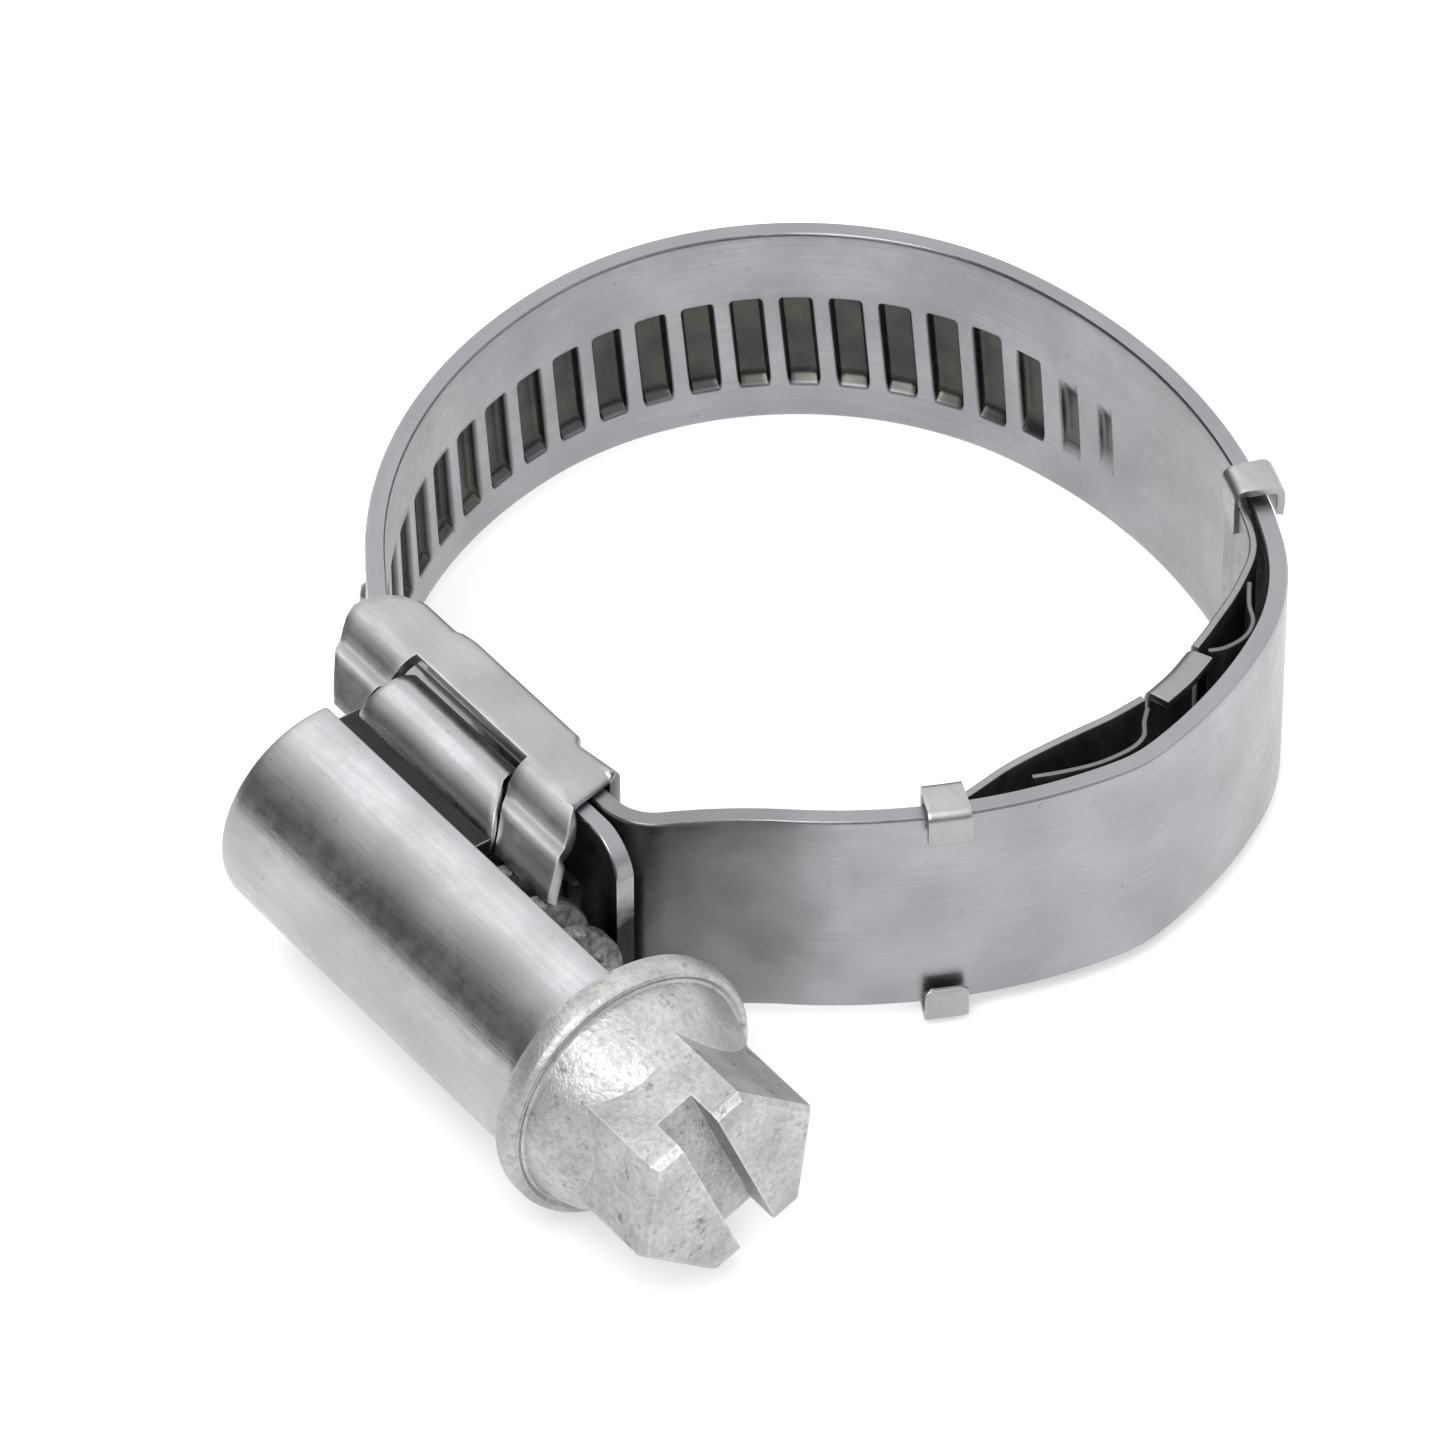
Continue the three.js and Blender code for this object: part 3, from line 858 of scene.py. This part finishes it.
class Material:
    """A metal built from nodes, with its sockets in millimetres."""

    def __init__(self, name, strip=False):
        self.material = bpy.data.materials.new(name)
        self.material.use_nodes = True
        self.tree = self.material.node_tree
        self.tree.nodes.clear()
        self.shader = self.tree.nodes.new("ShaderNodeBsdfPrincipled")
        output = self.tree.nodes.new("ShaderNodeOutputMaterial")
        self.link(self.shader.outputs["BSDF"], output.inputs["Surface"])
        if strip:
            source = self.tree.nodes.new("ShaderNodeAttribute")
            source.attribute_name = "strip"
            self.place = source.outputs["Vector"]
        else:
            source = self.tree.nodes.new("ShaderNodeTexCoord")
            self.place = self.stretch(source.outputs["Object"], (1000, 1000, 1000))

    def link(self, a, b):
        self.tree.links.new(a, b)

    def node(self, kind, inputs=None, **settings):
        node = self.tree.nodes.new(kind)
        for key, value in settings.items():
            setattr(node, key, value)
        for key, value in (inputs or {}).items():
            if isinstance(value, bpy.types.NodeSocket):
                self.link(value, node.inputs[key])
            else:
                node.inputs[key].default_value = value
        return node

    def stretch(self, vector, scale):
        return self.node("ShaderNodeMapping", {"Vector": vector, "Scale": scale}).outputs["Vector"]

    def noise(self, scale, detail=3, roughness=0.5, stretch=(1, 1, 1)):
        """Noise with a scale in features for each millimetre."""
        place = self.stretch(self.place, stretch)
        inputs = {"Vector": place, "Scale": scale, "Detail": detail, "Roughness": roughness}
        return self.node("ShaderNodeTexNoise", inputs).outputs["Fac"]

    def between(self, value, low, high, out_low=0.0, out_high=1.0):
        inputs = {"Value": value, "From Min": low, "From Max": high,
                  "To Min": out_low, "To Max": out_high}
        return self.node("ShaderNodeMapRange", inputs, clamp=True).outputs["Result"]

    def math(self, operation, a, b):
        node = self.node("ShaderNodeMath", operation=operation)
        for socket, value in zip(node.inputs, (a, b)):
            if isinstance(value, bpy.types.NodeSocket):
                self.link(value, socket)
            else:
                socket.default_value = value
        return node.outputs["Value"]

    def blend(self, share, a, b):
        """A mix of two colours, each a socket or a triple."""
        node = self.node("ShaderNodeMix", data_type="RGBA")
        for socket, value in ((node.inputs[0], share), (node.inputs[6], a), (node.inputs[7], b)):
            if isinstance(value, bpy.types.NodeSocket):
                self.link(value, socket)
            else:
                socket.default_value = (*value, 1) if hasattr(value, "__len__") else value
        return node.outputs[2]

    def edges(self, radius):
        """1 on worn edges within a radius in millimetres, 0 on flat faces."""
        bevel = self.node("ShaderNodeBevel", {"Radius": radius * MM}, samples=4)
        normal = self.node("ShaderNodeNewGeometry").outputs["Normal"]
        dot = self.node("ShaderNodeVectorMath", {0: bevel.outputs["Normal"], 1: normal},
                        operation="DOT_PRODUCT")
        return self.between(dot.outputs["Value"], 0.97, 0.8)

    def part(self, axis):
        """One of the three parts of the place, X, Y or Z."""
        return self.node("ShaderNodeSeparateXYZ", {"Vector": self.place}).outputs[axis]

    def magnitude(self, value):
        return self.node("ShaderNodeMath", {0: value}, operation="ABSOLUTE").outputs["Value"]

    def away_from_cut(self):
        """0 within 0.15 mm of the place where the band's two meshes meet, and 1 from 0.3 mm on."""
        distance = self.magnitude(self.math("SUBTRACT", self.part("X"), ENTRY_CUT))
        return self.between(distance, 0.15, 0.3)

    def painted_edge_shade(self):
        """Painted shade on the band's two slit edges, which are drawn darker than its faces."""
        across = self.magnitude(self.part("Y"))
        return self.between(across, BAND_SIDE - 0.1, BAND_SIDE - 0.03, 0.0, 0.6)

    def painted_dark_reflection(self):
        """Painted shade standing for a dark reflection on the band in front of the housing, fading out
        unevenly along the strip.
        """
        unevenness = self.between(self.noise(0.3, 3), 0.3, 0.7, -1.5, 1.5)
        ragged = self.math("ADD", self.part("X"), unevenness)
        near = self.math("MULTIPLY", self.between(ragged, 6, 10), self.between(ragged, 19, 11.5))
        return self.math("MULTIPLY", near, 0.66)

    def darker_free_end_tip(self):
        """Darkens the lower half of the band's free end, behind the screw's flange."""
        unevenness = self.between(self.noise(1.2, 3), 0.3, 0.7, -0.4, 0.4)
        ragged = self.math("ADD", self.part("Y"), unevenness)
        at_tip = self.between(self.part("X"), BAND.length - 1.2, BAND.length - 0.5)
        return self.math("MULTIPLY", at_tip, self.between(ragged, 3.4, 1.2))

    def worm_darkening(self):
        """Darkens the screw behind its flange, in patches."""
        behind = self.between(self.part("X"), 14.2, 13.9)
        patches = self.between(self.noise(2.4, 3, 0.6), 0.35, 0.65, 0.5, 0.9)
        return self.math("MULTIPLY", behind, patches)

    def set(self, colour, roughness, height, depth):
        self.shader.inputs["Metallic"].default_value = 1.0
        self.link(colour, self.shader.inputs["Base Color"])
        self.link(roughness, self.shader.inputs["Roughness"])
        inputs = {"Strength": 1.0, "Distance": depth * MM, "Height": height}
        bump = self.node("ShaderNodeBump", inputs)
        self.link(bump.outputs["Normal"], self.shader.inputs["Normal"])
        return self.material


def shade(colour, share):
    return tuple(min(c * share, 1) for c in colour)


def steel(name, colour, roughness, grain, band=False, stains=0.5, wear=0.6):
    """Stainless steel with lines along its grain, soft mottling, stains and worn edges.

    The band's steel follows the strip instead of the object's axes, and has painted shade in front of
    the housing, on its slit edges and in its recesses, and a darker lower tip.
    """
    m = Material(name, band)
    lines = m.noise(1.0, 4, 0.65, grain)
    mottle = m.noise(0.3, 2, 0.4)
    haze = m.noise(1.6, 4, 0.6)
    spots = m.between(m.noise(2.3, 4, 0.65), 0.66, 0.74)
    worn = m.edges(0.12)
    tone = m.blend(m.between(mottle, 0.3, 0.7), shade(colour, 0.84), shade(colour, 1.07))
    tone = m.blend(m.between(lines, 0.35, 0.7, 0.0, 0.25), tone, shade(colour, 0.6))
    tone = m.blend(m.math("MULTIPLY", spots, stains), tone, shade(colour, 0.3))
    if band:
        worn = m.math("MULTIPLY", worn, m.away_from_cut())
    tone = m.blend(m.math("MULTIPLY", worn, wear), tone, (0.72, 0.72, 0.72))
    if band:
        # painted shade: the band in front of the housing is drawn darker, as a dark reflection
        tone = m.blend(m.painted_dark_reflection(), tone, (0.078, 0.07, 0.063))
        # painted shade: the band's slit edges are drawn darker than its faces
        tone = m.blend(m.painted_edge_shade(), tone, shade(colour, 0.65))
        # the lower half of the free end's tip is drawn darker
        tone = m.blend(m.darker_free_end_tip(), tone, (0.02, 0.018, 0.016))
        # painted shade in the pressed recesses and on their slopes, in two patchy dark tones
        pressed = m.node("ShaderNodeAttribute", attribute_name="pressed").outputs["Fac"]
        patches = m.between(m.noise(0.5, 2), 0.4, 0.6)
        painted_recess_shade = m.blend(patches, (0.055, 0.052, 0.057), (0.074, 0.072, 0.063))
        tone = m.blend(m.between(pressed, 0.05, 0.9), tone, painted_recess_shade)
    rough = m.math("ADD", m.between(haze, 0.25, 0.75, roughness - 0.06, roughness + 0.08),
                   m.between(lines, 0.3, 0.75, -0.03, 0.06))
    rough = m.math("SUBTRACT", rough, m.math("MULTIPLY", worn, 0.1))
    height = m.math("ADD", m.math("MULTIPLY", lines, 0.6), m.math("MULTIPLY", haze, 0.5))
    return m.set(tone, rough, height, 0.01)


def zinc_plate():
    """Matt zinc plating: soft clouds, fine speckle, dark pits and bright edges."""
    m = Material("zinc_plating")
    speckle = m.noise(4.5, 4, 0.6)
    clouds = m.noise(0.55, 3)
    pits = m.between(m.noise(1.5, 4, 0.65), 0.6, 0.71)
    grit = m.noise(9, 3, 0.6)
    worn = m.edges(0.2)
    tone = m.blend(m.between(clouds, 0.35, 0.65), (0.37, 0.37, 0.362), (0.5, 0.5, 0.488))
    tone = m.blend(m.between(speckle, 0.42, 0.7, 0.0, 0.45), tone, (0.25, 0.25, 0.25))
    tone = m.blend(m.math("MULTIPLY", pits, 0.65), tone, (0.09, 0.09, 0.095))
    tone = m.blend(m.math("MULTIPLY", worn, 0.5), tone, (0.74, 0.74, 0.72))
    # the screw is drawn darker behind its flange, in patches
    tone = m.blend(m.worm_darkening(), tone, (0.05, 0.049, 0.048))
    rough = m.between(speckle, 0.3, 0.7, 0.38, 0.56)
    height = m.math("ADD", m.math("MULTIPLY", speckle, 0.8), m.math("MULTIPLY", grit, 0.3))
    return m.set(tone, rough, height, 0.035)


BAND_STEEL = steel("band_rolled_steel", (0.35, 0.345, 0.362), 0.3, (0.25, 9, 9),
                   band=True, wear=0.3)
HOUSING_STEEL = steel("housing_pressed_steel", (0.372, 0.369, 0.372), 0.34, (0.6, 5, 5),
                      stains=0.35)
DRUM_STEEL = steel("drum_polished_steel", (0.395, 0.393, 0.403), 0.26, (0.35, 5, 5), stains=0.55)
# near-black steel: painted shade for the groove between the drum and the panel
PAINTED_SHADE_GROOVE_STEEL = steel("groove_painted_shade_steel", (0.035, 0.034, 0.033), 0.5, (0.5, 5, 5))
SPRING_STEEL = steel("spring_strip_steel", (0.38, 0.38, 0.37), 0.3, (0.3, 7, 7),
                     stains=0.3, wear=0.25)
# a darker copy of the lugs' spring steel: painted shade for the liner and bridge inside the ring
LINER_SHADED_STEEL = steel("liner_strip_steel_painted_shade", (0.29, 0.29, 0.28), 0.33, (0.3, 7, 7),
                    stains=0.4, wear=0.12)
# a much darker copy of the same spring steel: painted shade for the wave springs between the liner and
# the band
WAVE_SHADED_STEEL = steel("wave_strip_steel_painted_shade", (0.17, 0.17, 0.165), 0.38, (0.3, 7, 7),
                   stains=0.4, wear=0.06)
ZINC = zinc_plate()

make_band()
make_saddle()
make_drum()
make_panel("drum_flange_upper", 1)
make_panel("drum_flange_lower", -1)
make_groove("drum_groove_upper", 1)
make_groove("drum_groove_lower", -1)
make_screw()
make_liner()
make_waves()
make_bridge()


# ---------- floor, light and camera ----------

def stage_floor():
    level = cad_low.z - FLOOR_GAP
    square = ((-1, -1), (1, -1), (1, 1), (-1, 1))
    corners = [(x * FLOOR_HALF, y * FLOOR_HALF, level) for x, y in square]
    mesh = bpy.data.meshes.new("floor")
    mesh.from_pydata(corners, [], [(0, 1, 2, 3)])
    floor = bpy.data.objects.new("floor", mesh)
    bpy.context.scene.collection.objects.link(floor)
    paint = bpy.data.materials.new("floor_paper")
    paint.use_nodes = True
    shader = paint.node_tree.nodes["Principled BSDF"]
    shader.inputs["Base Color"].default_value = (0.62, 0.62, 0.62, 1)
    shader.inputs["Roughness"].default_value = 0.9
    shader.inputs["Emission Color"].default_value = (1, 1, 1, 1)
    shader.inputs["Emission Strength"].default_value = 0.4
    mesh.materials.append(paint)


def aimed_at_clamp(name, data, azimuth, elevation, distance):
    """A light or camera that points at the clamp; azimuth is from -Y towards +X, elevation upwards."""
    a, e = math.radians(azimuth), math.radians(elevation)
    back = Vector((math.sin(a) * math.cos(e), -math.cos(a) * math.cos(e), math.sin(e)))
    obj = bpy.data.objects.new(name, data)
    bpy.context.scene.collection.objects.link(obj)
    obj.location = CAMERA_AIM + back * distance
    obj.rotation_mode = "QUATERNION"
    obj.rotation_quaternion = (-back).to_track_quat("-Z", "Y")
    return obj


def softbox(name, azimuth, elevation, size, power):
    """A rectangular area light that points at the clamp."""
    light = bpy.data.lights.new(name, "AREA")
    light.shape = "RECTANGLE"
    light.size, light.size_y = size
    light.energy = power
    aimed_at_clamp(name, light, azimuth, elevation, SOFTBOX_DISTANCE)


def sky():
    """A soft sky that is dark low down beyond the drum, and bright overhead and behind the ring."""
    world = bpy.data.worlds.new("studio")
    bpy.context.scene.world = world
    world.use_nodes = True
    tree = world.node_tree
    place = tree.nodes.new("ShaderNodeTexCoord")
    height = tree.nodes.new("ShaderNodeVectorMath")
    height.operation = "DOT_PRODUCT"
    height.inputs[1].default_value = (0, 0.45, 0.89)
    tree.links.new(place.outputs["Generated"], height.inputs[0])
    ramp = tree.nodes.new("ShaderNodeMapRange")
    ramp.interpolation_type = "SMOOTHSTEP"
    for socket, value in (("From Min", 0.0), ("From Max", 0.72), ("To Min", 0.16), ("To Max", 1.5)):
        ramp.inputs[socket].default_value = value
    tree.links.new(height.outputs["Value"], ramp.inputs["Value"])
    background = tree.nodes["Background"]
    background.inputs["Color"].default_value = (0.98, 0.99, 1, 1)
    tree.links.new(ramp.outputs["Result"], background.inputs["Strength"])


def studio():
    sky()
    softbox("softbox_over", 265, 55, (0.3, 0.3), 0.22)
    softbox("softbox_front", 33, 50, (0.36, 0.5), 2.7)
    bpy.context.scene.view_settings.view_transform = "Standard"


def camera():
    data = bpy.data.cameras.new("camera")
    data.lens = CAMERA_LENS
    data.sensor_width = 36
    data.clip_start = 0.01
    data.clip_end = 10
    bpy.context.scene.camera = aimed_at_clamp(
        "camera", data, CAMERA_AZIMUTH, CAMERA_ELEVATION, CAMERA_DISTANCE)


stage_floor()
studio()
camera()
